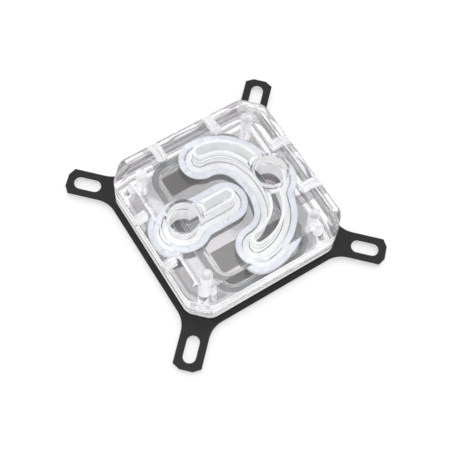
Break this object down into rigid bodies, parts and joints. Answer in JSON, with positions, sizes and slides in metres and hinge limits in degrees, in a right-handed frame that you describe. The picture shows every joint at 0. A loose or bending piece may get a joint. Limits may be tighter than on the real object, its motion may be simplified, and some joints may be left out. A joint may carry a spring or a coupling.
{
  "type": "liquid cooling cold plate",
  "caption": "Liquid cooling cold plate: a clear block with milled channels, gaskets and threaded ports over a finned metal plate, on a flat bracket with slotted arms.",
  "frame": {"origin": "centre of the flat contact face that rests on the processor", "axes": "+Z out of the ports, X and Y along the bracket's arms"},
  "size_m": [0.1236, 0.1236, 0.0247],
  "materials": {
    "clear_acrylic": "clear, polished, with satin milled walls",
    "pale_gasket": "translucent silicone",
    "black_seal": "matt",
    "steel": "plain",
    "nickel": "nickel plated copper",
    "black_metal": "satin black faces, bright cut edges"
  },
  "bodies": {
    "root": {"upper_block": "clear_acrylic", "lower_plate": "clear_acrylic", "inlet_gasket": "pale_gasket", "outlet_gasket": "pale_gasket", "base_gasket": "black_seal", "jet_plate": "steel", "bracket_screws": "steel", "cold_plate": "nickel", "mounting_bracket": "black_metal"}
  },
  "joints": []
}
